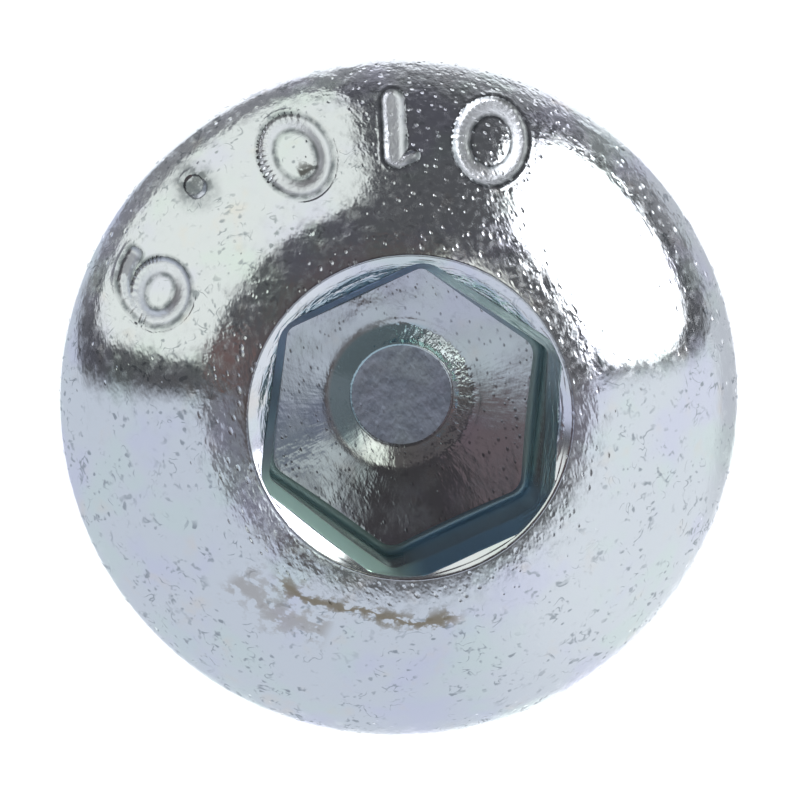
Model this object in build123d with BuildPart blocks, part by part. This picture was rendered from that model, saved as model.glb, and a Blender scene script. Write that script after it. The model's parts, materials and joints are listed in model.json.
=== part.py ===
from build123d import *
from math import cos, radians, sqrt, tan
import os

# Hexagon socket button head screw, M6 x 12, threaded to the neck, forged and rolled from one piece.
#
# The screw stands on its thread end with its axis along +Z. The origin is the centre of the bearing
# face under the head. Two flats of the socket face +X and -X, and two corners lie on the Y axis.
# Lengths are in millimetres and angles in degrees.

# ---- driving dimensions -------------------------------------------------------------------------
pitch = 1.0                  # thread pitch
major_dia = 5.97             # over the thread crests
neck_dia = 5.35              # rolled blank, between the last thread and the head
length = 12.0                # bearing face to thread end
neck_length = 1.3 * pitch    # bearing face to where the first thread starts to rise
runout_angle = 30.0          # of the shoulder from the neck up to the crests, from the axis
end_flat_dia = 4.55          # flat left inside the end chamfer
end_chamfer_angle = 45.0     # from the axis

head_dia = 10.5
head_height = 3.2
dome_radius = 5.95
dome_edge_blend = 0.35       # where the dome turns down into the head's edge
underside_blend = 0.25       # where the edge turns in to the bearing face
bearing_fillet = 0.33        # between the neck and the bearing face

rim_dia = 4.94               # where the lead-in opens on the dome
rim_blend = 0.06
lead_in_angle = 50.0         # of the lead-in cone, from the bearing face's plane
across_flats = 4.06          # for a 4 mm key
corner_blend = 0.2           # down the six corners of the socket
socket_depth = 2.08          # rim to the disc in the middle of the floor
disc_dia = 1.54              # flat disc left by the punch's tip
disc_step = 0.2              # how far the disc lies below the dish
step_dia = 2.14              # top of the step round the disc
dish_angle = 11.0            # of the dished floor, from the bearing face's plane
foot_blend = 0.17            # between the floor and the six walls

# ---- worked out from them -----------------------------------------------------------------------
major_r = major_dia / 2
neck_r = neck_dia / 2
head_r = head_dia / 2
rim_r = rim_dia / 2
runout_length = (major_r - neck_r) / tan(radians(runout_angle))
end_chamfer_length = (major_r - end_flat_dia / 2) / tan(radians(end_chamfer_angle))
crest_length = length - neck_length - runout_length - end_chamfer_length

dome_centre = head_height - sqrt(dome_radius**2 - rim_r**2)
dome_foot = dome_centre + sqrt(dome_radius**2 - head_r**2)
dome_mid_r = (rim_r + head_r) / 2
dome_mid = dome_centre + sqrt(dome_radius**2 - dome_mid_r**2)

pilot_r = 0.9 * across_flats / 2     # where the lead-in's cone stops, inside the hexagon
pilot_height = head_height - (rim_r - pilot_r) * tan(radians(lead_in_angle))
disc_height = head_height - socket_depth
dish_height = disc_height + disc_step
punch_overrun = 1.0                  # how far the punch stands out of the rim
nose_r = across_flats / 2 / cos(radians(30)) + 0.5     # the nose's cone runs past the corners


def dish_at(radius):
    """Height of the dished floor at a distance from the axis."""
    return dish_height + (radius - step_dia / 2) * tan(radians(dish_angle))


# ---- punch: the space that the socket leaves, driven in from the top -------------------------------
with BuildPart() as punch:
    with BuildSketch(Plane.XY.offset(disc_height)):
        RegularPolygon(across_flats / 2, 6, major_radius=False, rotation=30)
    extrude(amount=socket_depth + punch_overrun)
    fillet(punch.edges().filter_by(Axis.Z), corner_blend)

    # the nose: a flat tip, a step round it, and a shallow cone that runs out past the corners
    with BuildSketch(Plane.XZ):
        with BuildLine():
            Polyline(
                (0, disc_height),
                (disc_dia / 2, disc_height),
                (step_dia / 2, dish_height),
                (nose_r, dish_at(nose_r)),
                (nose_r, head_height + punch_overrun),
                (0, head_height + punch_overrun),
                close=True,
            )
        make_face()
    revolve(axis=Axis.Z, mode=Mode.INTERSECT)

    # the foot: every edge between the nose's cone and the sides of the hexagon
    foot_edges = punch.faces().filter_by(GeomType.CONE).sort_by(SortBy.AREA)[-1].edges()
    fillet(foot_edges.filter_by(GeomType.CIRCLE, reverse=True), foot_blend)

# ---- screw -----------------------------------------------------------------------------------------
with BuildPart() as screw:
    # half section, turned about the axis: thread end, shank, neck, underside, edge, dome and lead-in
    with BuildSketch(Plane.XZ) as section:
        with BuildLine():
            Polyline(
                (0, pilot_height),
                (0, -length),
                (end_flat_dia / 2, -length),
                (major_r, -length + end_chamfer_length),
                (major_r, -neck_length - runout_length),
                (neck_r, -neck_length),
                (neck_r, 0),
                (head_r, 0),
                (head_r, dome_foot),
            )
            ThreePointArc((head_r, dome_foot), (dome_mid_r, dome_mid), (rim_r, head_height))
            Polyline((rim_r, head_height), (pilot_r, pilot_height), (0, pilot_height))
        make_face()
        for corner, blend in (
            ((neck_r, 0), bearing_fillet),
            ((head_r, 0), underside_blend),
            ((head_r, dome_foot), dome_edge_blend),
            ((rim_r, head_height), rim_blend),
        ):
            fillet(section.vertices().sort_by_distance(corner)[0], blend)
    revolve(axis=Axis.Z)

    # socket
    add(punch.part, mode=Mode.SUBTRACT)

screw.part.label = "button_head_screw"

os.makedirs("parts", exist_ok=True)
export_step(screw.part, "parts/button_head_screw.step")

print("volume", round(screw.part.volume, 2), "mm3")
print("length of the crest wall", round(crest_length, 3), "mm")
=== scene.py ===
import json
from math import atan2, cos, degrees, hypot, pi, radians, sin, sqrt, tan

import bmesh
import bpy
import numpy as np
from mathutils import Matrix, Vector


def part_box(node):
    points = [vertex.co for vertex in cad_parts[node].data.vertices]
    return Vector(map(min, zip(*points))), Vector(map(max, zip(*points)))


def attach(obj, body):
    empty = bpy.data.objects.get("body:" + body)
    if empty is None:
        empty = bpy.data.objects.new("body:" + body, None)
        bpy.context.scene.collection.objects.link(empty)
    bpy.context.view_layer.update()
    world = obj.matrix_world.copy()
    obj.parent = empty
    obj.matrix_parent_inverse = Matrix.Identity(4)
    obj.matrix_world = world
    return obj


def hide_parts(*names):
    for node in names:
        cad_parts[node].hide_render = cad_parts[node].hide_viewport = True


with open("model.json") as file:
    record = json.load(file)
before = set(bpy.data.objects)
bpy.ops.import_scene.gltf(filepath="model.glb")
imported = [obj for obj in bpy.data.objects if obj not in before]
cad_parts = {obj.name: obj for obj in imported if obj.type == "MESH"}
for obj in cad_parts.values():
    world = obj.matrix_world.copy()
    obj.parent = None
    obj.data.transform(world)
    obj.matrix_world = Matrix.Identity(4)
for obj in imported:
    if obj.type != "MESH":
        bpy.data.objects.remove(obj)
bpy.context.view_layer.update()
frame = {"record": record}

NODE = "button_head_screw"
MM = 0.001

# ---- sizes, in millimetres and degrees
MOUNTS = {mount["name"]: mount for mount in frame["record"]["mounts"]}
NODE_LOW, NODE_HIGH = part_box(NODE)
HEAD_R = NODE_HIGH.x / MM
LENGTH = -NODE_LOW.z / MM
CREST_R = MOUNTS["thread"]["dims"]["r_mm"]

AROUND = 240               # faces round the axis
DOME_RINGS = 58
DOME_ENDS = (0.6, 0.4)     # degrees from its edge to its first ring, and from its last ring to the rim
ONE_POINT = 0.0004         # places nearer than this are one
PITCH = 1.0
NECK_R = 2.675
ROOT_R = 2.39
NECK_TOP = -1.3            # where the thread has risen out of the neck
RUN_OUT = 1.15             # height over which it rises
END_FLAT_R = 2.275
END_FACE_SHARE = 0.96      # of the end's flat, drawn before the first tooth's foot
THREAD_ANGLE = 60.0
CREST_FLAT = PITCH / 8
CREST_EASE = 0.025         # rounding at the crest's edge, toward the axis
CREST_EASE_ALONG = (0.0145, 0.018)    # and along it, outside the crest's flat and inside it
ROOT_ROUND = 0.144 * PITCH
ROOT_SPREAD = 0.03         # how far the root's rounding reaches past the foot of a sharp flank
FLANK_FOOT = 0.10          # how far above the root the flank starts

BEARING_FILLET = 0.33
UNDERSIDE_BLEND = 0.25
EDGE_BLEND = 0.35
DOME_R = 5.95
HEAD_HEIGHT = 3.194        # of the sharp corner between the dome and the lead-in
RIM_R = 2.47
RIM_BLEND = 0.05
DOME_CENTRE = HEAD_HEIGHT - sqrt(DOME_R**2 - RIM_R**2)

FLAT_R = 2.03              # half across the flats of the socket
MOUTH_R = 2.185            # the same where the punch dragged the mouth open
DRAG_DEPTH = 0.42          # height over which it did
LEAD_IN = 43.0
LEAD_IN_TOP = 38.0         # of its first part, next to the rim
LEAD_IN_TOP_R = 2.36
CORNER_BLEND = 0.2
MOUTH_CORNER_BLEND = 0.5
FLOOR_CORNER_BLEND = 0.34
DISC_R = 0.76              # the flat that the punch's tip left
STEP_R = 1.42              # where the dish meets the worn step round the disc
STEP_TOP_R = 1.26          # from here in, the step falls more than the dish does
STEP_STEEP_R = 1.10        # and from here it falls its full slope
STEP_FOOT_R = 0.81         # down to here
STEP_SLOPE = 22.5
STEP_RINGS = (1.36, 1.30, 1.25, 1.20, 1.15, 1.10, 1.05, 1.0, 0.95, 0.90, 0.86, 0.83, 0.81, 0.79, 0.775,
              DISC_R)
DISH_HEIGHT = 1.36         # at the top of the step
DISH = 11.0
FOOT_BLEND = 0.17
TEAR_DEPTH = 0.02          # ragged metal round the dragged mouth
TEAR_HEIGHT = 2.5          # over which the tears change as much as over a radian round the mouth

# ---- how far the punch strayed from the middle
DISC_OFF_CENTRE = (-0.02, 0.13, 0.0)
MOUTH_OFF_CENTRE = (0.07, -0.10, 0.0)

# ---- finishes, in the order of the piece's material slots
FINISHES = ("rolled_thread", "plated_head", "torn_lead_in", "socket_wall", "dished_floor", "punch_disc")


# ==== node trees
FLOAT, VECTOR, COLOR = "NodeSocketFloat", "NodeSocketVector", "NodeSocketColor"
GEOMETRY, MATERIAL = "NodeSocketGeometry", "NodeSocketMaterial"


class Net:
    """Lays out the nodes of one tree."""

    def __init__(self, tree):
        self.tree = tree

    def add(self, kind, *inputs, named=None, out=0, **settings):
        """One node: its settings, its inputs in order or by name, and one output (or the node itself)."""
        node = self.tree.nodes.new(kind)
        for name, value in settings.items():
            setattr(node, name, value)
        for socket, value in zip([socket for socket in node.inputs if socket.enabled], inputs):
            self.feed(socket, value)
        for name, value in (named or {}).items():
            self.feed(next(s for s in node.inputs if s.enabled and s.name == name), value)
        return node if out is None else node.outputs[out]

    def feed(self, socket, value):
        if isinstance(value, bpy.types.NodeSocket):
            self.tree.links.new(value, socket)
        elif value is not None:
            socket.default_value = value

    def group(self, tree, **inputs):
        """The outputs of a node group; an input's name has an underscore for each space."""
        kind = tree.bl_idname.replace("Tree", "Group")
        node = self.add(kind, out=None, node_tree=tree)
        for name, value in inputs.items():
            self.feed(node.inputs[name.replace("_", " ")], value)
        return node.outputs

    def math(self, operation, *values):
        return self.add("ShaderNodeMath", *values, operation=operation)

    def plus(self, a, b):
        return self.math("ADD", a, b)

    def minus(self, a, b):
        return self.math("SUBTRACT", a, b)

    def times(self, product, *factors):
        for factor in factors:
            product = self.math("MULTIPLY", product, factor)
        return product

    def vector(self, operation, *values, out=0):
        return self.add("ShaderNodeVectorMath", *values, operation=operation, out=out)

    def dot(self, a, b):
        return self.vector("DOT_PRODUCT", a, b, out="Value")

    def length(self, a):
        return self.vector("LENGTH", a, out="Value")

    def split(self, vector):
        return self.add("ShaderNodeSeparateXYZ", vector, out=None).outputs

    def join(self, *parts):
        return self.add("ShaderNodeCombineXYZ", *parts)

    def step(self, value, low, high, start=0.0, end=1.0):
        """start below low, end above high, and a soft step between."""
        ends = {"Value": value, "From Min": low, "From Max": high, "To Min": start, "To Max": end}
        return self.add("ShaderNodeMapRange", named=ends, interpolation_type="SMOOTHSTEP")

    def blend(self, factor, low, high):
        """low where factor is 0 and high where it is 1."""
        return self.plus(low, self.times(factor, self.minus(high, low)))

    def mix(self, factor, low, high):
        """Two colours mixed: low where factor is 0 and high where it is 1."""
        node = self.add("ShaderNodeMix", out=None, data_type="RGBA")
        sockets = [socket for socket in node.inputs if socket.enabled]
        for socket, value in zip(sockets, (factor, low, high)):
            self.feed(socket, (*value, 1) if isinstance(value, tuple) else value)
        return next(socket for socket in node.outputs if socket.enabled)

    def noise(self, vector, scale, detail=2.0, roughness=0.5, distortion=0.0):
        sizes = {"Vector": vector, "Scale": scale, "Detail": detail, "Roughness": roughness,
                 "Distortion": distortion}
        return self.add("ShaderNodeTexNoise", named=sizes)

    def cells(self, vector, scale, out="Distance"):
        return self.add("ShaderNodeTexVoronoi", named={"Vector": vector, "Scale": scale}, out=out)


def new_group(kind, name, inputs, outputs):
    """An empty node group with named inputs and outputs, and its Net and two ends."""
    tree = bpy.data.node_groups.new(name, kind)
    for direction, sockets in (("INPUT", inputs), ("OUTPUT", outputs)):
        for label, socket_type, *default in sockets:
            item = tree.interface.new_socket(name=label, in_out=direction, socket_type=socket_type)
            if default:
                item.default_value = default[0]
    start = tree.nodes.new("NodeGroupInput")
    end = tree.nodes.new("NodeGroupOutput")
    return Net(tree), start, end


# ==== half section
class HalfSection:
    """Stations from the axis at the thread end, up the outside, over the head and down the socket."""

    WEIGHTS = ("helix", "hexagon", "flat", "lift", "corner", "torn", "shift", "lean")

    def __init__(self):
        self.points = []
        self.weights = {name: [] for name in self.WEIGHTS}
        self.finish = []

    def to(self, r, z, finish, **weights):
        self.points.append((r, z))
        self.finish.append(FINISHES.index(finish))
        for name in self.WEIGHTS:
            self.weights[name].append(weights.get(name, 0.0))

    def line(self, r, z, steps, finish, **weights):
        """Straight on to (r, z). A weight given as a pair runs from its first to its second value."""
        r0, z0 = self.points[-1]
        for i in range(1, steps + 1):
            t = i / steps
            now = {k: w[0] + (w[1] - w[0]) * t if isinstance(w, tuple) else w for k, w in weights.items()}
            self.to(r0 + (r - r0) * t, z0 + (z - z0) * t, finish, **now)

    def arc(self, centre, radius, start, end, steps, finish, **weights):
        """Round an arc about centre, from the angle start to the angle end."""
        for i in range(steps + 1):
            angle = radians(start + (end - start) * i / steps)
            self.to(centre[0] + radius * cos(angle), centre[1] + radius * sin(angle), finish, **weights)


def thread_profile():
    """One pitch of the thread, as (radius, height) from the middle of a root to the next."""
    crest_edge = 0.5 * PITCH - CREST_FLAT / 2
    flank = tan(radians(THREAD_ANGLE / 2))
    half_root = crest_edge - (CREST_R - ROOT_R) * flank + ROOT_SPREAD
    rounding = [(ROOT_R + ROOT_ROUND * (1 - cos(a)) * 0.5, half_root * a / radians(THREAD_ANGLE))
                for a in (0, radians(20), radians(42))]
    flank_foot = (ROOT_R + FLANK_FOOT, crest_edge - (CREST_R - ROOT_R - FLANK_FOOT) * flank)
    flank_top = (CREST_R - CREST_EASE, crest_edge - CREST_EASE_ALONG[0])
    crest = (CREST_R, crest_edge + CREST_EASE_ALONG[1])
    rising = rounding + [flank_foot, flank_top, crest]
    falling = [(r, PITCH - z) for r, z in reversed(rising[1:])]
    return rising + falling


def rim_blend_centre():
    """Centre of the blend between the dome and the lead-in's cone."""
    a = radians(LEAD_IN_TOP)
    off_r, off_z = RIM_R + RIM_BLEND * sin(a), HEAD_HEIGHT - RIM_BLEND * cos(a) - DOME_CENTRE
    b = -(off_r * cos(a) + off_z * sin(a))
    c = off_r**2 + off_z**2 - (DOME_R - RIM_BLEND) ** 2
    t = -b - sqrt(b * b - c)
    return off_r - t * cos(a), off_z - t * sin(a) + DOME_CENTRE


def screw_section():
    """The whole half section. Its weights say what the tree does with each station."""
    section = HalfSection()

    # end face and thread: the helix moves these stations up by a pitch in one turn, so they start a
    # pitch below the end, and what falls below it is pressed into the end face's edge
    section.to(0, -LENGTH, "rolled_thread")
    section.line(END_FLAT_R * END_FACE_SHARE, -LENGTH, 3, "rolled_thread")
    tooth = thread_profile()
    turns = int(round((LENGTH + NECK_TOP) / PITCH)) + 2
    for turn in range(turns):
        for r, z in tooth:
            height = -LENGTH - PITCH + turn * PITCH + z
            if height < NECK_TOP + 0.001:
                section.to(r, height, "rolled_thread", helix=1.0)

    # neck, bearing face, edge
    section.to(NECK_R, NECK_TOP, "rolled_thread")
    section.line(NECK_R, -BEARING_FILLET, 4, "rolled_thread")
    section.arc((NECK_R + BEARING_FILLET, -BEARING_FILLET), BEARING_FILLET, 180, 90, 5, "plated_head")
    section.line(HEAD_R - UNDERSIDE_BLEND, 0, 4, "plated_head")
    section.arc((HEAD_R - UNDERSIDE_BLEND, UNDERSIDE_BLEND), UNDERSIDE_BLEND, -90, 0, 6, "plated_head")
    edge_r = HEAD_R - EDGE_BLEND
    edge_z = DOME_CENTRE + sqrt((DOME_R - EDGE_BLEND) ** 2 - edge_r**2)
    dome_start = degrees(atan2(edge_z - DOME_CENTRE, edge_r))
    section.arc((edge_r, edge_z), EDGE_BLEND, 0, dome_start, 5, "plated_head")

    # dome, rim and lead-in
    rim = rim_blend_centre()
    rim_start = degrees(atan2(rim[1] - DOME_CENTRE, rim[0]))
    section.arc((0, DOME_CENTRE), DOME_R, dome_start + DOME_ENDS[0], rim_start - DOME_ENDS[1], DOME_RINGS,
                "plated_head")
    section.arc(rim, RIM_BLEND, rim_start, 90 + LEAD_IN_TOP, 6, "plated_head")
    top_slope, slope = tan(radians(LEAD_IN_TOP)), tan(radians(LEAD_IN))
    top_z = HEAD_HEIGHT - (RIM_R - LEAD_IN_TOP_R) * top_slope
    section.line(LEAD_IN_TOP_R, top_z, 4, "torn_lead_in", hexagon=(0, 0.3), flat=MOUTH_R, lift=top_slope,
                 corner=MOUTH_CORNER_BLEND, lean=(0, 0.3))
    mouth_z = top_z - (LEAD_IN_TOP_R - MOUTH_R) * slope
    section.line(MOUTH_R, mouth_z, 7, "torn_lead_in", hexagon=(0.3, 1), flat=MOUTH_R, lift=slope,
                 corner=MOUTH_CORNER_BLEND, torn=(0.0, 1.0), lean=(0.3, 1))

    # the dragged mouth, walls and foot
    drag = DRAG_DEPTH / (MOUTH_R - FLAT_R)
    section.line(FLAT_R, mouth_z - DRAG_DEPTH, 7, "socket_wall", hexagon=1.0, flat=(MOUTH_R, FLAT_R),
                 lift=(slope, drag * 0.2), corner=(MOUTH_CORNER_BLEND, CORNER_BLEND), torn=(0.8, 0.1),
                 lean=(1, 0.9))
    rise = tan(radians(DISH))
    foot_r = FLAT_R - FOOT_BLEND
    foot_z = DISH_HEIGHT + (foot_r - STEP_R) * rise + FOOT_BLEND / cos(radians(DISH))
    section.line(FLAT_R, foot_z, 10, "socket_wall", hexagon=1.0, flat=FLAT_R, lift=(drag * 0.2, rise),
                 corner=(CORNER_BLEND, FLOOR_CORNER_BLEND), lean=(0.9, 0))
    section.arc((foot_r, foot_z), FOOT_BLEND, -8, -90 + DISH, 7, "socket_wall", hexagon=1.0, flat=FLAT_R,
                lift=rise, corner=FLOOR_CORNER_BLEND)

    # dish, the worn step round the disc, and the disc
    section.line(STEP_R, DISH_HEIGHT, 14, "dished_floor", hexagon=(1.0, 0.0), flat=FLAT_R, lift=rise,
                 corner=FLOOR_CORNER_BLEND, shift=(0.0, 1.0))
    r, z = STEP_R, DISH_HEIGHT
    bends = (DISC_R, STEP_FOOT_R, STEP_STEEP_R, STEP_TOP_R)
    for reach in STEP_RINGS:
        slope = np.interp((r + reach) / 2, bends, (0.0, STEP_SLOPE, STEP_SLOPE, DISH))
        z -= (r - reach) * tan(radians(slope))
        r = reach
        section.to(r, z, "dished_floor", shift=1.0)
    section.line(0, z, 6, "punch_disc", shift=1.0)
    return section


def section_object(section):
    """The half section as a bare line, with its weights as point attributes."""
    mesh = bpy.data.meshes.new("half_section")
    count = len(section.points)
    vertices = [(r * MM, 0, z * MM) for r, z in section.points]
    mesh.from_pydata(vertices, [(i, i + 1) for i in range(count - 1)], [])
    for name, values in section.weights.items():
        scale = MM if name in ("corner", "flat") else 1.0
        values = [value * scale for value in values]
        mesh.attributes.new(name, "FLOAT", "POINT").data.foreach_set("value", values)
    mesh.attributes.new("finish", "INT", "POINT").data.foreach_set("value", section.finish)
    piece = bpy.data.objects.new(NODE + "_visual", mesh)
    bpy.context.scene.collection.objects.link(piece)
    return piece


# ==== geometry nodes
def hexagon_reach(net, angle, flat, corner):
    """How far the hexagon's side lies from the axis at an angle, less half its width across flats."""
    half_side = pi / 6
    turn = net.math("WRAP", angle, half_side, -half_side)
    from_corner = net.minus(half_side, net.math("ABSOLUTE", turn))
    side = net.math("DIVIDE", flat, net.math("COSINE", turn))
    corner_place = net.math("DIVIDE", net.minus(flat, corner), cos(half_side))
    across = net.times(corner_place, net.math("SINE", from_corner))
    inside = net.minus(net.times(corner, corner), net.times(across, across))
    bend = net.math("SQRT", net.math("MAXIMUM", inside, 0.0))
    rounded = net.plus(net.times(corner_place, net.math("COSINE", from_corner)), bend)
    ends_x = net.plus(corner_place, net.times(corner, cos(half_side)))
    ends_y = net.times(corner, sin(half_side))
    in_corner = net.math("LESS_THAN", from_corner, net.math("ARCTAN2", ends_y, ends_x))
    return net.minus(net.blend(in_corner, side, rounded), flat)


def turned_screw_tree(finishes):
    """Turns the half section round the axis, with the thread, the hexagon and the finishes it carries."""
    inputs = [
        ("Half Section", GEOMETRY),
        ("Around", "NodeSocketInt", AROUND),
        ("Pitch", FLOAT, PITCH * MM),
        ("Neck Radius", FLOAT, NECK_R * MM),
        ("Neck Top", FLOAT, NECK_TOP * MM),
        ("Run Out", FLOAT, RUN_OUT * MM),
        ("End", FLOAT, -LENGTH * MM),
        ("End Flat Radius", FLOAT, END_FLAT_R * MM),
        ("Disc Shift", VECTOR, [value * MM for value in DISC_OFF_CENTRE]),
        ("Mouth Shift", VECTOR, [value * MM for value in MOUTH_OFF_CENTRE]),
        ("Widest Mouth", FLOAT, (RIM_R - RIM_BLEND) * MM),
        ("Tear Depth", FLOAT, TEAR_DEPTH * MM),
    ] + [(name, MATERIAL) for name in finishes]
    net, start, end = new_group("GeometryNodeTree", "turned_screw", inputs, [("Screw", GEOMETRY)])
    given = start.outputs
    section = given["Half Section"]

    count = net.add("GeometryNodeAttributeDomainSize", section, component="MESH")
    around = net.plus(given["Around"], 1)
    grid = net.add("GeometryNodeMeshGrid", 1.0, 1.0, around, count)

    # angle round the axis, and the station that each row of the grid takes
    place = net.split(net.add("GeometryNodeInputPosition"))
    angle = net.times(net.plus(place[0], 0.5), 2 * pi)
    cosine, sine = net.math("COSINE", angle), net.math("SINE", angle)
    row = net.times(net.plus(place[1], 0.5), net.minus(count, 1))

    def sampled(name, kind="FLOAT", rounding="ROUND"):
        """What the half section carries at this row's station."""
        value = net.add("GeometryNodeInputNamedAttribute", name, data_type=kind)
        return net.add("GeometryNodeSampleIndex", section, value, net.math(rounding, row), data_type=kind)

    stored = net.add("GeometryNodeStoreNamedAttribute", grid, True, "finish",
                     sampled("finish", "INT", "CEIL"), data_type="INT", domain="FACE")

    position = net.add("GeometryNodeSampleIndex", section, net.add("GeometryNodeInputPosition"),
                       net.math("ROUND", row), data_type="FLOAT_VECTOR")
    station = net.split(position)
    radius, height = station[0], station[2]
    helix, hexagon, torn = sampled("helix"), sampled("hexagon"), sampled("torn")

    # thread: one pitch up for each turn, rising out of the neck and cut off by the end's chamfer
    advance = net.times(given["Pitch"], net.math("DIVIDE", angle, 2 * pi))
    climbed = net.add("ShaderNodeClamp", net.plus(height, advance), given["End"], given["Neck Top"])
    run_start = net.minus(given["Neck Top"], given["Run Out"])
    depth = net.step(climbed, run_start, given["Neck Top"], 1.0, 0.0)
    tooth = net.blend(depth, given["Neck Radius"], radius)
    chamfer = net.plus(given["End Flat Radius"], net.minus(climbed, given["End"]))
    threaded = net.math("MINIMUM", tooth, chamfer)
    radius = net.blend(helix, radius, threaded)
    height = net.blend(helix, height, climbed)

    # socket: out to the hexagon, and up or down the cone that the station lies on
    reach = hexagon_reach(net, angle, sampled("flat"), net.math("MAXIMUM", sampled("corner"), 1e-5))
    leaning = net.dot(given["Mouth Shift"], net.join(cosine, sine, 0.0))
    pushed = net.plus(net.times(reach, hexagon), net.times(leaning, sampled("lean")))
    widest = net.math("MAXIMUM", radius, given["Widest Mouth"])
    pushed = net.math("MINIMUM", pushed, net.minus(widest, radius))
    radius = net.plus(radius, pushed)
    height = net.plus(height, net.times(pushed, sampled("lift")))

    # torn metal that the punch dragged down round the mouth
    spot = net.join(cosine, sine, net.math("DIVIDE", height, TEAR_HEIGHT * MM))
    rough = net.minus(net.noise(spot, 9.0, 3.0, 0.65), 0.5)
    radius = net.plus(radius, net.times(rough, net.times(torn, given["Tear Depth"])))

    turned = net.join(net.times(radius, cosine), net.times(radius, sine), height)
    moved = net.vector("ADD", turned, net.vector("SCALE", given["Disc Shift"], sampled("shift")))
    shaped = net.add("GeometryNodeSetPosition", stored, True, moved)
    closed = net.add("GeometryNodeMergeByDistance", shaped, True, ONE_POINT * MM)
    solid = net.add("GeometryNodeRealizeInstances", closed)
    solid = net.add("GeometryNodeSetMaterial", solid, True, given[finishes[0]])
    own_finish = net.add("GeometryNodeInputNamedAttribute", "finish", data_type="INT")
    for index, name in enumerate(finishes[1:], start=1):
        chosen = net.add("FunctionNodeCompare", own_finish, index, data_type="INT", operation="EQUAL")
        solid = net.add("GeometryNodeSetMaterial", solid, chosen, given[name])
    net.tree.links.new(solid, end.inputs[0])
    return net.tree


def run_tree(piece, tree, values):
    """The tree's result on the piece as a plain mesh, with the modifier taken off again."""
    modifier = piece.modifiers.new("turned_screw", "NODES")
    modifier.node_group = tree
    sockets = {item.name: item.identifier for item in tree.interface.items_tree if item.in_out == "INPUT"}
    for name, value in values.items():
        modifier[sockets[name]] = value
    bpy.context.view_layer.update()
    evaluated = piece.evaluated_get(bpy.context.evaluated_depsgraph_get())
    mesh = bpy.data.meshes.new_from_object(evaluated)
    mesh.materials.pop(index=0)    # the grid's own empty slot
    piece.modifiers.remove(modifier)
    piece.data = mesh
    return mesh


# ==== numerals, pressed into the dome
class Groove:
    """A pressed stroke in plan. Places are (along the writing, toward the axis), in millimetres.

    crown is how far the dome inside a ring is pressed down with it. hatch gives where along the stroke
    the tool's marks start and end, and how deep they are. A larger last value spreads the painted shade
    that darkens a stroke's edge over the whole stroke.
    """

    def __init__(self, half_width, outer_wall=0.10, inner_wall=0.10, crown=0.0, hatch=None, grime=1.0):
        self.half_width = half_width
        self.outer_wall, self.inner_wall, self.crown = outer_wall, inner_wall, crown
        self.hatch, self.grime = hatch, grime

    def depth(self, u, v):
        """How deep each place lies (below 0 on the raised lip round the stroke)."""
        away, along = self.measure(u, v)
        inside = self.half_width - np.abs(away)
        wall = np.where(away > 0, self.outer_wall, self.inner_wall)
        t = np.clip(inside / wall, 0, 1)
        lip = np.clip(1 - np.abs(inside + LIP_WIDTH / 2) / (LIP_WIDTH / 2), 0, 1)
        ticks = 0
        if self.hatch:
            start, end, deep = self.hatch
            here = np.clip((along - start) * HATCH_FADE, 0, 1) * np.clip((end - along) * HATCH_FADE, 0, 1)
            outer = np.clip((away + 0.02) / 0.05, 0, 1) * np.clip((inside + 0.03) / 0.03, 0, 1)
            ticks = deep * np.sin(2 * pi * along / HATCH_PITCH) * here * outer
        enclosed = self.crown * np.clip(1 + np.minimum(inside, 0) / CROWN_WIDTH, 0, 1) ** 2 * (away < 0)
        floor = enclosed + (PRESS_DEPTH - enclosed) * t * t * (3 - 2 * t)
        return floor - LIP_HEIGHT * lip * (away > 0) + ticks, inside / self.grime


class Ring(Groove):
    """A stroke round an oval, given by its half width and half height."""

    def __init__(self, centre, size, half_width, **walls):
        super().__init__(half_width, **walls)
        self.centre, self.size = centre, size

    def measure(self, u, v):
        x, y = u - self.centre[0], v - self.centre[1]
        reach = np.hypot(x / self.size[0], y / self.size[1]) + 1e-9
        local = np.hypot(x, y) / reach
        return (reach - 1) * local, np.arctan2(y, x) * local


class Line(Groove):
    """A straight stroke."""

    def __init__(self, start, end, half_width, **walls):
        super().__init__(half_width, **walls)
        self.start, self.end = start, end

    def measure(self, u, v):
        x, y = self.end[0] - self.start[0], self.end[1] - self.start[1]
        t = np.clip(((u - self.start[0]) * x + (v - self.start[1]) * y) / (x * x + y * y), 0, 1)
        return np.hypot(u - self.start[0] - t * x, v - self.start[1] - t * y), t * hypot(x, y)


def curve(points, half_width, **walls):
    """Straight strokes from point to point."""
    return [Line(a, b, half_width, **walls) for a, b in zip(points, points[1:])]


PRESS_DEPTH = 0.07
CROWN_WIDTH = 0.3
LIP_WIDTH, LIP_HEIGHT = 0.06, 0.006
HATCH_PITCH = 0.072
HATCH_FADE = 8.0           # how sharply the marks start and end
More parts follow.
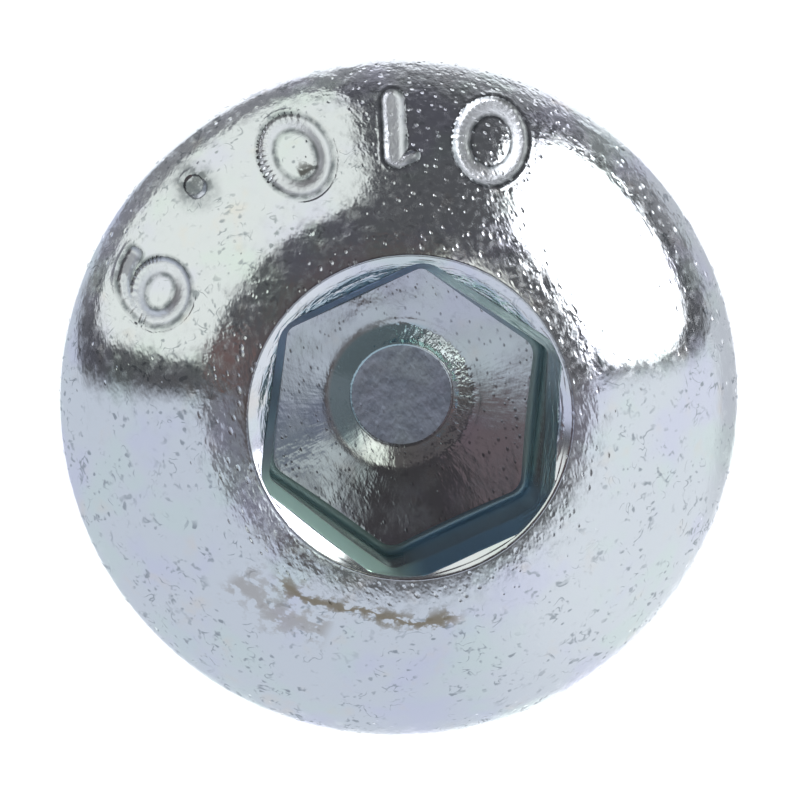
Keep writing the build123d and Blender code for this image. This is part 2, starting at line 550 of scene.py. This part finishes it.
# strength grade, written round the socket: distance from the axis, direction, strokes
NUMERALS = (
    (4.306, 77.8, [Ring((-0.01, 0.02), (0.45, 0.50), 0.155, inner_wall=0.16, crown=0.025,
                        hatch=(-1.3, 0.2, 0.006))]),
    (4.295, 96.8, [Line((0.085, 0.39), (0.055, -0.37), 0.195, outer_wall=0.13),
                   Line((-0.19, 0.40), (0.06, 0.49), 0.10, outer_wall=0.08)]),
    (4.261, 118.6, [Ring((0.01, 0.03), (0.425, 0.475), 0.145, inner_wall=0.16, crown=0.025,
                         hatch=(-1.1, 0.25, 0.016))]),
    # the dot, with the painted shade of a stroke's edge spread all over it
    (4.678, 138.3, [Line((0.02, 0.03), (0.04, 0.03), 0.195, outer_wall=0.10, grime=5.0)]),
    (4.318, 159.6, [Ring((-0.01, 0.16), (0.40, 0.32), 0.15, inner_wall=0.16, crown=0.02,
                         hatch=(-1.1, -0.2, 0.013))]
     + curve([(0.41, 0.25), (0.42, 0.05), (0.37, -0.12), (0.27, -0.27), (0.11, -0.37), (-0.10, -0.41),
              (-0.32, -0.40)], 0.13, hatch=(0.02, 0.3, 0.012))),
)
NUMERAL_REACH = 1.2        # past this from its middle, no stroke of a numeral is looked for
DOME_LOWEST = 61.0         # how far down the dome numerals can lie, as an angle from the axis
RIM_MARGIN = 0.1           # and how near the rim
FINER_WITHIN = (0.16, 0.07)    # how near a stroke faces are halved, and halved again


def press_depths(x, y):
    """Depth of the numerals at places given from the axis, and how far inside a stroke each lies."""
    depth, inside = np.zeros_like(x), np.full_like(x, -1.0)
    for distance, direction, strokes in NUMERALS:
        outward = np.array((cos(radians(direction)), sin(radians(direction))))
        u = -x * outward[1] + y * outward[0]
        v = distance - (x * outward[0] + y * outward[1])
        near = np.hypot(u, v) < NUMERAL_REACH
        for stroke in strokes:
            pressed, place = stroke.depth(u, v)
            better = near & (place > inside)
            depth = np.where(better, pressed, depth)
            inside = np.where(better, place, inside)
    return depth, inside


def dome_places(bm):
    """The vertices of the dome, and their places in millimetres."""
    low = DOME_CENTRE + DOME_R * cos(radians(DOME_LOWEST))
    chosen = [v for v in bm.verts if v.co.z > low * MM and hypot(v.co.x, v.co.y) > (RIM_R + RIM_MARGIN) * MM]
    places = np.array([v.co[:] for v in chosen]) / MM
    return chosen, places


def press_numerals(mesh):
    """Finer faces round each numeral, laid on the dome and pressed down along the axis."""
    mesh.attributes.new("pressed", "FLOAT", "POINT").data.foreach_set("value", [-1.0] * len(mesh.vertices))
    bm = bmesh.new()
    bm.from_mesh(mesh)
    pressed = bm.verts.layers.float["pressed"]
    centre = Vector((0, 0, DOME_CENTRE * MM))
    for reach in FINER_WITHIN:
        chosen, places = dome_places(bm)
        _, inside = press_depths(places[:, 0], places[:, 1])
        close = {v for v, depth in zip(chosen, inside) if depth > -reach}
        edges = {edge for v in close for face in v.link_faces for edge in face.edges}
        edges = [edge for edge in edges if all(hypot(v.co.x, v.co.y) > RIM_R * MM for v in edge.verts)]
        edges.sort(key=lambda edge: edge.index)
        added = bmesh.ops.subdivide_edges(bm, edges=edges, cuts=1, use_grid_fill=True)["geom_inner"]
        for v in added:
            if isinstance(v, bmesh.types.BMVert):
                v.co = centre + (v.co - centre).normalized() * DOME_R * MM
        bm.verts.index_update()
        bm.edges.index_update()
    chosen, places = dome_places(bm)
    depth, inside = press_depths(places[:, 0], places[:, 1])
    for v, drop, place in zip(chosen, depth, inside):
        v.co.z -= drop * MM
        v[pressed] = place
    bm.to_mesh(mesh)
    bm.free()


# ==== effects that several materials share
PER_MM = 1 / MM
RUB_DIRECTION = 115.0


def object_place(net):
    """The place on the piece, in millimetres."""
    return net.vector("SCALE", net.add("ShaderNodeTexCoord", out="Object"), PER_MM)


def plan_place(net):
    """The same place with its height left out."""
    return net.vector("MULTIPLY", object_place(net), (1.0, 1.0, 0.0))


def toward(net, x, y):
    """How squarely a place lies from the axis toward a direction in plan, from -1 to 1."""
    return net.dot(net.vector("NORMALIZE", plan_place(net)), (x, y, 0.0))


def drawn_out(net, place, stretch):
    """Coordinates that draw a pattern out along the direction the plate was rubbed in."""
    turn = {"Vector": place, "Angle": -radians(RUB_DIRECTION)}
    turned = net.add("ShaderNodeVectorRotate", named=turn, rotation_type="Z_AXIS")
    return net.vector("MULTIPLY", turned, (1 / stretch, 1.0, 1.0))


def plating_grain_group():
    """Height of the plated surface: slow waves, crystal grain and small pits."""
    inputs = [("Grain Size", FLOAT, 0.09), ("Grain Depth", FLOAT, 0.004), ("Pit Size", FLOAT, 0.14),
              ("Pit Depth", FLOAT, 0.004), ("Pit Share", FLOAT, 0.5), ("Wave Depth", FLOAT, 0.01)]
    outputs = [("Height", FLOAT), ("Pits", FLOAT)]
    net, start, end = new_group("ShaderNodeTree", "plating_grain", inputs, outputs)
    given = start.outputs
    place = object_place(net)
    rubbed = drawn_out(net, place, 1.8)
    grain = net.noise(rubbed, net.math("DIVIDE", 0.6, given["Grain Size"]), 2.0, 0.6)
    waves = net.noise(place, 1.1, 1.0)
    pit_scale = net.math("DIVIDE", 1.0, given["Pit Size"])
    away = net.cells(rubbed, pit_scale)
    luck = net.split(net.cells(rubbed, pit_scale, out="Color"))
    pit_reach = net.blend(luck[1], 0.22, 0.42)
    hollow = net.step(away, 0.0, pit_reach, 1.0, 0.0)
    pits = net.times(hollow, net.math("LESS_THAN", luck[0], given["Pit Share"]))
    height = net.times(grain, given["Grain Depth"])
    height = net.plus(height, net.times(waves, given["Wave Depth"]))
    height = net.minus(height, net.times(pits, given["Pit Depth"]))
    net.feed(end.inputs["Height"], net.times(height, MM))
    net.feed(end.inputs["Pits"], pits)
    return net.tree


def turned_place_group():
    """Coordinates that follow the screw round: frequencies round it, up it and out from it."""
    inputs = [("Around", FLOAT, 1.0), ("Up", FLOAT, 1.0), ("Out", FLOAT, 0.0), ("Skew", FLOAT, 0.0)]
    net, start, end = new_group("ShaderNodeTree", "turned_place", inputs, [("Place", VECTOR)])
    given = start.outputs
    place = net.split(object_place(net))
    angle = net.math("ARCTAN2", place[1], place[0])
    angle = net.plus(angle, net.times(place[2], given["Skew"]))
    reach = net.length(plan_place(net))
    third = net.plus(net.times(place[2], given["Up"]), net.times(reach, given["Out"]))
    around = [net.times(net.math(kind, angle), given["Around"]) for kind in ("COSINE", "SINE")]
    net.feed(end.inputs["Place"], net.join(*around, third))
    return net.tree


LILAC, GREEN, WARM = (0.60, 0.60, 0.76), (0.60, 0.70, 0.66), (0.68, 0.63, 0.58)
FLECK = (0.30, 0.33, 0.36)


def plate_colour_group():
    """Zinc with faint lilac, green and warm tints, and dark flecks in crowds."""
    inputs = [("Plate", COLOR, (0.6, 0.64, 0.69, 1)), ("Tint", FLOAT, 0.5), ("Flecks", FLOAT, 0.5)]
    net, start, end = new_group("ShaderNodeTree", "plate_colour", inputs, [("Color", COLOR)])
    given = start.outputs
    place = object_place(net)
    moved = net.vector("ADD", place, (7.0, 3.0, 5.0))
    warm = net.vector("ADD", place, (-4.0, 9.0, 2.0))
    tints = ((place, 0.8, 0.48, 0.66, LILAC), (moved, 0.9, 0.50, 0.66, GREEN), (warm, 1.8, 0.58, 0.80, WARM))
    color = given["Plate"]
    for where, scale, low, high, tint in tints:
        share = net.times(net.step(net.noise(where, scale, 3.0), low, high), given["Tint"])
        color = net.mix(share, color, tint)
    curl = net.math("ABSOLUTE", net.minus(net.noise(place, 3.4, 1.0, 0.5, 1.2), 0.5))
    broken = net.step(net.noise(warm, 4.5, 2.0, 0.5), 0.50, 0.64)
    fleck = net.times(net.step(curl, 0.0, 0.05, 1.0, 0.0), broken)
    spots = net.step(net.noise(moved, 7.0, 1.0, 0.5), 0.62, 0.74)
    fleck = net.math("MAXIMUM", fleck, spots)
    crowd = net.step(net.noise(place, 1.4, 2.0), 0.35, 0.60)
    fleck = net.times(fleck, crowd, given["Flecks"])
    net.feed(end.inputs["Color"], net.mix(fleck, color, FLECK))
    return net.tree


def arc_stain_group():
    """A mask for a ragged arc that runs round the socket, for a smear and for painted shade."""
    inputs = [("Radius", FLOAT, 3.1), ("Direction", FLOAT, 4.6), ("Half Span", FLOAT, 0.5),
              ("Half Width", FLOAT, 0.1), ("Wander", FLOAT, 0.3)]
    net, start, end = new_group("ShaderNodeTree", "arc_stain_and_shade", inputs, [("Mask", FLOAT)])
    given = start.outputs
    place = object_place(net)
    drift = net.times(net.minus(net.noise(place, 1.3, 2.0), 0.5), given["Wander"])
    parts = net.split(place)
    reach = net.length(plan_place(net))
    off = net.math("ABSOLUTE", net.plus(net.minus(reach, given["Radius"]), drift))
    angle = net.math("ARCTAN2", parts[1], parts[0])
    turn = net.math("ABSOLUTE", net.math("WRAP", net.minus(angle, given["Direction"]), pi, -pi))
    ragged = net.step(net.noise(place, 5.0, 3.0, 0.6), 0.36, 0.66, 0.1, 1.4)
    width = net.times(given["Half Width"], ragged)
    across = net.step(off, net.times(width, 0.1), width, 1.0, 0.0)
    along = net.step(turn, net.times(given["Half Span"], 0.75), given["Half Span"], 1.0, 0.0)
    net.feed(end.inputs["Mask"], net.times(across, along))
    return net.tree


# ==== materials
THREAD_ZINC = (0.62, 0.65, 0.69, 1)
HEAD_ZINC = (0.63, 0.66, 0.70, 1)
TORN_ZINC = (0.66, 0.68, 0.73, 1)
WALL_ZINC = (0.42, 0.53, 0.64, 1)
FLOOR_ZINC = (0.60, 0.65, 0.68, 1)
DISC_ZINC = (0.46, 0.50, 0.57, 1)

BARE_STROKE = (0.80, 0.83, 0.89)
# painted shade: the dark line along the edge of each numeral's stroke
STROKE_EDGE_PAINTED_SHADE = (0.16, 0.18, 0.20)
# painted shadow in the streaks of the torn lead-in
PAINTED_TEAR_SHADOW = (0.32, 0.43, 0.51)
# painted reflections on the socket's wall, side by side: teal, blue, a mint highlight over its shade, and
# pale and blue on the dragged parts
PAINTED_TEAL_REFLECTION = (0.46, 0.60, 0.60)
PAINTED_BLUE_REFLECTION = (0.34, 0.50, 0.62)
PAINTED_MINT_HIGHLIGHT, PAINTED_MINT_SHADE = (0.76, 1.0, 0.89), (0.26, 0.38, 0.36)
PAINTED_PALE_HIGHLIGHT, PAINTED_DRAGGED_BLUE_REFLECTION = (0.86, 0.98, 1.0), (0.60, 0.72, 0.98)
# painted shade at the foot of the socket's wall
PAINTED_FOOT_SHADE = (0.10, 0.13, 0.14)
# painted shade in the pits of the socket's floor
PAINTED_PIT_SHADE = (0.10, 0.11, 0.13)
# painted reflection: teal on one side of the step round the disc
PAINTED_STEP_REFLECTION = (0.42, 0.60, 0.66)
WORN_DISC = (0.33, 0.37, 0.43)

# directions from the axis, in plan
COARSE_SIDE = (cos(radians(84.0)), sin(radians(84.0)))
COARSE_EDGE = (cos(radians(62.0)), sin(radians(62.0)))
# the side of the socket's wall painted with a blue reflection
PAINTED_BLUE_DIRECTION = (0.57, -0.82)

# heights on the socket's wall, each a soft band from its first value to its second
DRAGGED_FROM = (2.50, 2.60)
# where the painted mint highlight starts, above its painted shade
MINT_FROM = (2.44, 2.54)
FOOT_UP_TO = (1.60, 1.75)

# smears over the plate, and painted shade in a nought's hole and over the dot: radius, direction, half span,
# half width, wander, share, colour
SMEARS_AND_PAINTED_SHADE = (
    (3.16, -97, 30, 0.22, 0.5, 0.9, (0.22, 0.18, 0.12)),
    (3.6, -118, 15, 0.4, 0.6, 0.5, (0.27, 0.22, 0.17)),
    # painted shade at the inner side of the hole inside the nought at 118.6 degrees
    (3.97, 117.4, 2.6, 0.16, 0.0, 1.0, (0.10, 0.10, 0.10)),
    # painted shade over the pressed dot
    (4.68, 138.2, 2.8, 0.22, 0.0, 0.85, (0.16, 0.17, 0.17)),
)
# and one over the bare strokes
STROKE_SMEAR = (4.76, 158.5, 3.2, 0.25, 0.3, 0.7, (0.24, 0.24, 0.28))


def metal(name, color, roughness, height):
    """A metal shader with a colour, a roughness and a height in metres."""
    material = bpy.data.materials.new(name)
    material.use_nodes = True
    net = Net(material.node_tree)
    shader = material.node_tree.nodes["Principled BSDF"]
    color, roughness, height = color(net), roughness(net), height(net)
    shader.inputs["Metallic"].default_value = 1.0
    net.feed(shader.inputs["Base Color"], color)
    net.feed(shader.inputs["Roughness"], roughness)
    bump = net.add("ShaderNodeBump", named={"Strength": 1.0, "Distance": 1.0, "Height": height})
    net.feed(shader.inputs["Normal"], bump)
    return material


def rolled_thread(groups):
    def color(net):
        return net.group(groups["colour"], Plate=THREAD_ZINC, Tint=0.4, Flecks=0.4)["Color"]

    def height(net):
        lines = net.noise(net.group(groups["turned"], Around=3.0, Up=14.0)["Place"], 1.0, 2.0, 0.6)
        grain = net.group(groups["grain"], Grain_Size=0.09, Grain_Depth=0.004, Pit_Size=0.2, Pit_Depth=0.003,
                          Pit_Share=0.4, Wave_Depth=0.006)["Height"]
        return net.plus(grain, net.times(lines, 0.008 * MM))

    return metal("rolled_thread", color, lambda net: 0.16, height)


def plated_head(groups):
    def pressed(net):
        """How far inside a numeral's stroke a place lies, in millimetres."""
        return net.add("ShaderNodeAttribute", out="Fac", attribute_name="pressed")

    def coarse(net):
        """1 where the plate is coarse: round the socket, over the first numerals, and at their edge."""
        ragged = net.minus(net.noise(plan_place(net), 3.0, 3.0, 0.6), 0.5)
        beside = toward(net, *COARSE_SIDE)
        side = net.step(net.plus(beside, net.times(ragged, 0.05)), 0.925, 0.975)
        reach = net.plus(net.length(plan_place(net)), ragged)
        edge = net.times(net.step(reach, 4.75, 4.95), net.step(reach, 5.02, 5.14, 1.0, 0.0))
        edge = net.times(edge, net.step(toward(net, *COARSE_EDGE), 0.55, 0.78, 0.0, 0.6))
        near = net.step(reach, 2.7, net.step(beside, 0.0, 0.4, 3.4, 3.05), 1.0, 0.0)
        return net.math("MAXIMUM", net.math("MAXIMUM", side, near), edge)

    def smeared(net, plate, radius, direction, half_span, half_width, wander, share, smear):
        mask = net.group(groups["stain_and_shade"], Radius=radius, Direction=radians(direction),
                         Half_Span=radians(half_span), Half_Width=half_width, Wander=wander)["Mask"]
        return net.mix(net.times(mask, share), plate, smear)

    def color(net):
        flecks = net.blend(coarse(net), 0.95, 0.35)
        plate = net.group(groups["colour"], Plate=HEAD_ZINC, Tint=0.5, Flecks=flecks)["Color"]
        # smears, and painted shade in a nought's hole and over the dot
        for smear in SMEARS_AND_PAINTED_SHADE:
            plate = smeared(net, plate, *smear)
        bare = net.times(net.step(pressed(net), 0.03, 0.08), 0.7)
        plate = smeared(net, net.mix(bare, plate, BARE_STROKE), *STROKE_SMEAR)
        # painted shade: a broken dark line along each stroke's edge, where the groove's wall bends down
        from_edge = net.math("ABSOLUTE", net.minus(pressed(net), 0.02))
        broken = net.step(net.noise(object_place(net), 5.0, 3.0, 0.6), 0.35, 0.65, 0.35, 0.95)
        grime = net.times(net.step(from_edge, 0.0, 0.075, 1.0, 0.0), broken)
        return net.mix(grime, plate, STROKE_EDGE_PAINTED_SHADE)

    def grain(net):
        rough = coarse(net)
        return net.group(groups["grain"], Grain_Size=0.09, Grain_Depth=net.blend(rough, 0.0028, 0.0088),
                         Pit_Size=0.115, Pit_Depth=net.blend(rough, 0.003, 0.009),
                         Pit_Share=net.blend(rough, 0.12, 0.80), Wave_Depth=0.006)

    def roughness(net):
        haze = net.step(net.noise(object_place(net), 5.0, 3.0, 0.6), 0.45, 0.7, 0.09, 0.20)
        mottle = net.step(net.noise(object_place(net), 9.0, 2.0, 0.5), 0.38, 0.68)
        haze = net.blend(net.times(mottle, coarse(net)), haze, 0.25)
        haze = net.blend(net.times(grain(net)["Pits"], coarse(net)), haze, 0.42)
        return net.blend(net.step(pressed(net), 0.0, 0.04), haze, 0.42)

    def height(net):
        rough = net.times(net.noise(object_place(net), 12.0, 2.0, 0.6), 0.008 * MM)
        return net.plus(grain(net)["Height"], net.times(rough, net.step(pressed(net), 0.0, 0.05)))

    return metal("plated_head", color, roughness, height)


def torn_lead_in(groups):
    def tears(net):
        """Ragged tears that run round the mouth."""
        place = net.group(groups["turned"], Around=5.0, Up=9.0, Skew=0.12)["Place"]
        return net.noise(place, 1.0, 3.0, 0.6, 0.4)

    def torn(net, least, most):
        """How badly the cone is torn: least on the side that the punch scraped, and not at the rim."""
        across = net.dot(object_place(net), (0.10, 0.99, 0.0))
        ragged = net.plus(net.split(object_place(net))[2], net.times(tears(net), 0.12))
        return net.times(net.step(across, -1.3, 0.5, least, most), net.step(ragged, 3.09, 3.17, 1.0, 0.03))

    def color(net):
        plate = net.group(groups["colour"], Plate=TORN_ZINC, Tint=0.5, Flecks=0.3)["Color"]
        # painted shadow in streaks along the tears, where the cone is torn
        shadowed_streaks = net.times(net.step(tears(net), 0.44, 0.58), torn(net, 0.0, 0.7))
        return net.mix(shadowed_streaks, plate, PAINTED_TEAR_SHADOW)

    def height(net):
        return net.times(tears(net), torn(net, 0.005, 0.038), MM)

    return metal("torn_lead_in", color, lambda net: 0.16, height)


def socket_wall(groups):
    def height_up(net):
        return net.split(object_place(net))[2]

    def scraped(net):
        """The side that the punch rubbed along. It is rougher, and carries a painted mint highlight over a
        painted mint shade.
        """
        return net.step(toward(net, -0.5, -0.87), 0.72, 0.92)

    def blue_side(net):
        # the side painted with a blue reflection; it is also rougher
        return net.step(toward(net, *PAINTED_BLUE_DIRECTION), 0.80, 0.90)

    def dragged(net, x, y):
        """The upper part of the wall that lies toward a direction."""
        return net.times(net.step(height_up(net), *DRAGGED_FROM), net.step(toward(net, x, y), 0.65, 0.9))

    def color(net):
        z = height_up(net)
        plate = net.group(groups["colour"], Plate=WALL_ZINC, Tint=0.3, Flecks=0.2)["Color"]
        # painted reflections: each side of the wall coloured as it mirrors the room, a mint highlight over
        # its shade on the scraped side, and a pale highlight and a blue reflection on the dragged parts
        plate = net.mix(net.step(toward(net, 1.0, 0.0), 0.75, 0.9), plate, PAINTED_TEAL_REFLECTION)
        plate = net.mix(blue_side(net), plate, PAINTED_BLUE_REFLECTION)
        plate = net.mix(scraped(net), plate, net.mix(net.step(z, *MINT_FROM), PAINTED_MINT_SHADE, PAINTED_MINT_HIGHLIGHT))
        plate = net.mix(dragged(net, 0.60, 0.80), plate, PAINTED_PALE_HIGHLIGHT)
        plate = net.mix(dragged(net, -0.57, 0.82), plate, PAINTED_DRAGGED_BLUE_REFLECTION)
        # painted shade darkening the foot of the wall, where it meets the floor
        return net.mix(net.step(z, 1.52, 1.70, 0.35, 0.0), plate, PAINTED_FOOT_SHADE)

    def roughness(net):
        z = height_up(net)
        plain = net.step(z, 2.35, 2.6, 0.12, 0.30)
        plain = net.blend(net.step(z, *FOOT_UP_TO, 1.0, 0.0), plain, 0.45)
        plain = net.blend(blue_side(net), plain, 0.36)
        scrape = net.step(z, *MINT_FROM, net.step(z, *FOOT_UP_TO, 0.5, 0.25), 0.5)
        return net.blend(scraped(net), plain, scrape)

    def height(net):
        drag = net.noise(net.group(groups["turned"], Around=22.0, Up=1.2)["Place"], 1.0, 2.0, 0.5)
        place = net.group(groups["turned"], Around=5.0, Up=7.0, Skew=0.12)["Place"]
        sides = net.math("MAXIMUM", dragged(net, 0.0, 1.0), dragged(net, 1.0, 0.1))
        tears = net.times(net.noise(place, 1.0, 3.0, 0.6, 0.4), sides, 0.07 * MM)
        return net.plus(net.times(drag, 0.006 * MM), tears)

    return metal("socket_wall", color, roughness, height)


def dished_floor(groups):
    def grain(net):
        return net.group(groups["grain"], Grain_Size=0.07, Grain_Depth=0.0045, Pit_Size=0.075,
                         Pit_Depth=0.002, Pit_Share=0.60, Wave_Depth=0.01)

    def from_disc(net):
        """The place in plan as seen from the disc's centre, and its distance."""
        place = net.vector("SUBTRACT", plan_place(net), DISC_OFF_CENTRE)
        return place, net.length(place)

    def color(net):
        plate = net.group(groups["colour"], Plate=FLOOR_ZINC, Tint=0.4, Flecks=0.35)["Color"]
        # painted shade darkening the floor's pits
        plate = net.mix(net.times(grain(net)["Pits"], 0.65), plate, PAINTED_PIT_SHADE)
        place, reach = from_disc(net)
        # painted reflection: teal on one side of the step round the disc, as it mirrors the grey room
        side = net.step(net.dot(place, (-0.9, 0.44, 0.0)), 0.0, 0.5, 0.0, 0.8)
        return net.mix(net.times(net.step(reach, 1.08, 1.16, 1.0, 0.0), side), plate, PAINTED_STEP_REFLECTION)

    def roughness(net):
        return net.step(net.noise(object_place(net), 2.0, 3.0), 0.35, 0.65, 0.10, 0.22)

    def height(net):
        drag = net.noise(net.group(groups["turned"], Around=14.0, Up=0.0, Out=2.5)["Place"], 1.0, 2.0, 0.5)
        place, reach = from_disc(net)
        ring = net.step(net.math("ABSOLUTE", net.minus(reach, 0.98)), 0.08, 0.22, 1.0, 0.0)
        side = net.step(net.dot(place, (0.75, 0.35, 0.0)), -0.3, 0.5, 0.05, 1.0)
        marks = net.noise(net.group(groups["turned"], Around=9.0, Out=5.0)["Place"], 1.0, 2.0, 0.6)
        lines = net.plus(net.times(drag, 0.003), net.times(marks, 0.027, net.times(ring, side)))
        return net.plus(grain(net)["Height"], net.times(lines, MM))

    return metal("dished_floor", color, roughness, height)


def punch_disc(groups):
    def color(net):
        plate = net.group(groups["colour"], Plate=DISC_ZINC, Tint=0.3, Flecks=0.3)["Color"]
        worn = net.step(net.noise(object_place(net), 4.5, 4.0, 0.65), 0.42, 0.68, 0.0, 0.7)
        return net.mix(worn, plate, WORN_DISC)

    def height(net):
        return net.group(groups["grain"], Grain_Size=0.07, Grain_Depth=0.009, Pit_Size=0.1, Pit_Depth=0.003,
                         Pit_Share=0.3, Wave_Depth=0.012)["Height"]

    return metal("punch_disc", color, lambda net: 0.34, height)


def make_materials():
    groups = {"grain": plating_grain_group(), "turned": turned_place_group(),
              "colour": plate_colour_group(), "stain_and_shade": arc_stain_group()}
    makers = (rolled_thread, plated_head, torn_lead_in, socket_wall, dished_floor, punch_disc)
    return {maker.__name__: maker(groups) for maker in makers}


# ==== studio
CAMERA_DISTANCE = 150.0
CAMERA_TILT = 7.2          # from straight overhead
CAMERA_TURN = 125.0        # the side that it leans to
CAMERA_ROLL = 5.5
PIXELS_PER_MM = 64.95
TARGET_HEIGHT = 0.45       # of the place on the axis that is aimed at
TARGET_PIXEL = (399.1, 398.3)
IMAGE_SIZE = 800
BOARD_HALF = 0.6           # in metres

# What stands round the screw, as its head reflects it. Angles in degrees: "around" turns
# counter-clockwise from the picture's right, "down" is measured from overhead.
ROOM_LIGHT = (0.79, 0.84, 0.92)
ROOM = (
    # name, around, half width, down, half height, corner power, soft edge, radiance
    ("bright side", 335, 40, 95, 60, 2, 0.5, (1.02, 1.06, 1.09)),
    ("dim side", 35, 60, 135, 20, 4, 0.15, (0.74, 0.76, 0.80)),
    ("dark ceiling", 0, 400, 0, 60.5, 40, 0.03, (0.14, 0.12, 0.12)),
    ("grey ceiling right", 15, 50, 50, 10, 4, 0.15, (0.24, 0.23, 0.24)),
    ("grey ceiling left", 205, 28, 53, 6, 4, 0.2, (0.27, 0.27, 0.30)),
    ("dark surround", 92.5, 89.5, 82, 34.5, 8, 0.03, (0.12, 0.12, 0.125)),
    ("low band", 88, 80, 112.5, 5, 4, 0.1, (0.30, 0.30, 0.31)),
    ("brown corner", 168, 9, 54, 6, 2, 0.5, (0.21, 0.14, 0.13)),
    ("white paper", 0, 400, 180, 50.5, 40, 0.06, (1.62, 1.63, 1.66)),
    ("paper behind", 92, 52, 140, 23, 4, 0.10, (1.55, 1.56, 1.58)),
    ("left window", 135, 37.5, 84.5, 24.5, 6, 0.02, (1.12, 1.15, 1.07)),
    ("right window", 31.5, 26, 82, 21.5, 4, 0.03, (3.6, 3.6, 3.6)),
    ("dark below", 290, 45, 52, 9.5, 4, 0.1, (0.17, 0.17, 0.175)),
    ("deep ceiling", 0, 400, 0, 36, 40, 0.06, (0.065, 0.058, 0.062)),
    ("brown ceiling", 172, 36, 17, 8, 3, 0.4, (0.19, 0.145, 0.155)),
    ("lamp over the right", 50, 20, 41.5, 4, 2, 0.5, (1.5, 1.5, 1.35)),
    ("lamp over the left", 235, 24, 47, 3.5, 2, 0.4, (1.6, 1.7, 1.65)),
    ("ceiling lamp", 23, 25, 21.5, 6, 2, 0.5, (0.64, 0.68, 0.68)),
    ("grey ceiling below", 352, 16, 24, 8, 3, 0.4, (0.20, 0.22, 0.27)),
    ("overhead light", 275, 68, 24, 13, 4, 0.2, (0.63, 0.66, 0.73)),
)


def camera_axes():
    """The camera's right, up and backward axes."""
    tilt, turn, roll = radians(CAMERA_TILT), radians(CAMERA_TURN), radians(CAMERA_ROLL)
    back = Vector((sin(tilt) * cos(turn), sin(tilt) * sin(turn), cos(tilt)))
    level = Vector((0, 1, 0)).cross(back).normalized()
    upright = back.cross(level)
    right = level * cos(roll) + upright * sin(roll)
    up = upright * cos(roll) - level * sin(roll)
    return right, up, back


def make_camera():
    """The camera, aimed so that the place on the axis at TARGET_HEIGHT falls on TARGET_PIXEL."""
    right, up, back = camera_axes()
    data = bpy.data.cameras.new("camera")
    data.sensor_width = 36.0
    data.lens = PIXELS_PER_MM * data.sensor_width * CAMERA_DISTANCE / IMAGE_SIZE
    data.clip_start, data.clip_end = 0.01, 5.0
    camera = bpy.data.objects.new("camera", data)
    bpy.context.scene.collection.objects.link(camera)
    aside = (IMAGE_SIZE / 2 - TARGET_PIXEL[0]) / PIXELS_PER_MM
    below = (IMAGE_SIZE / 2 - TARGET_PIXEL[1]) / PIXELS_PER_MM
    place = Vector((0, 0, TARGET_HEIGHT)) + back * CAMERA_DISTANCE + right * aside - up * below
    turn = Matrix((right, up, back)).transposed().to_4x4()
    camera.matrix_world = Matrix.Translation(place * MM) @ turn
    bpy.context.scene.camera = camera


def room_patch(net, around, down, centre, half_width, centre_down, half_height, power, soft):
    """1 inside a patch of the room, 0 outside, with rounded corners and a soft edge."""
    off = net.math("WRAP", net.minus(around, radians(centre)), pi, -pi)
    across = net.math("DIVIDE", net.math("ABSOLUTE", off), radians(half_width))
    drop = net.minus(down, radians(centre_down))
    upright = net.math("DIVIDE", net.math("ABSOLUTE", drop), radians(half_height))
    total = net.plus(net.math("POWER", across, power), net.math("POWER", upright, power))
    return net.step(net.math("POWER", total, 1 / power), 1 - soft, 1 + soft, 1.0, 0.0)


def make_world():
    """The room as the plate mirrors it. Where the camera sees past the board, it is white."""
    world = bpy.data.worlds.new("studio")
    bpy.context.scene.world = world
    world.use_nodes = True
    net = Net(world.node_tree)
    right, _, _ = camera_axes()
    right = Vector((right.x, right.y, 0)).normalized()
    direction = net.add("ShaderNodeTexCoord", out="Generated")
    x = net.dot(direction, tuple(right))
    y = net.dot(direction, (-right.y, right.x, 0))
    around = net.math("ARCTAN2", y, x)
    down = net.math("ARCCOSINE", net.split(direction)[2])
    color = net.mix(0.0, ROOM_LIGHT, ROOM_LIGHT)
    for name, *patch, radiance in ROOM:
        color = net.mix(room_patch(net, around, down, *patch), color, radiance)
    backdrop = net.add("ShaderNodeLightPath", out="Is Camera Ray")
    color = net.mix(backdrop, color, (1.0, 1.0, 1.0))
    net.feed(world.node_tree.nodes["Background"].inputs["Color"], color)


def make_floor():
    """A pale board under the screw. It is lit from inside, and stays out of the metal's reflections."""
    mesh = bpy.data.meshes.new("floor")
    sides = ((-1, -1), (1, -1), (1, 1), (-1, 1))
    mesh.from_pydata([(x * BOARD_HALF, y * BOARD_HALF, -LENGTH * MM) for x, y in sides], [], [(0, 1, 2, 3)])
    floor = bpy.data.objects.new("floor", mesh)
    bpy.context.scene.collection.objects.link(floor)
    floor.visible_glossy = False
    material = bpy.data.materials.new("pale_board")
    material.use_nodes = True
    shader = material.node_tree.nodes["Principled BSDF"]
    shader.inputs["Base Color"].default_value = (0.88, 0.88, 0.88, 1)
    shader.inputs["Roughness"].default_value = 0.7
    shader.inputs["Emission Color"].default_value = (1, 1, 1, 1)
    shader.inputs["Emission Strength"].default_value = 0.9
    mesh.materials.append(material)


def make_studio():
    bpy.context.scene.view_settings.view_transform = "Standard"
    make_camera()
    make_world()
    make_floor()


# ==== making
def make_screw():
    materials = make_materials()
    piece = section_object(screw_section())
    mesh = run_tree(piece, turned_screw_tree(FINISHES), materials)
    press_numerals(mesh)
    mesh.polygons.foreach_set("use_smooth", [True] * len(mesh.polygons))
    mesh.update()
    return piece


make_studio()
screw = make_screw()
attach(screw, "root")
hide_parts(NODE)
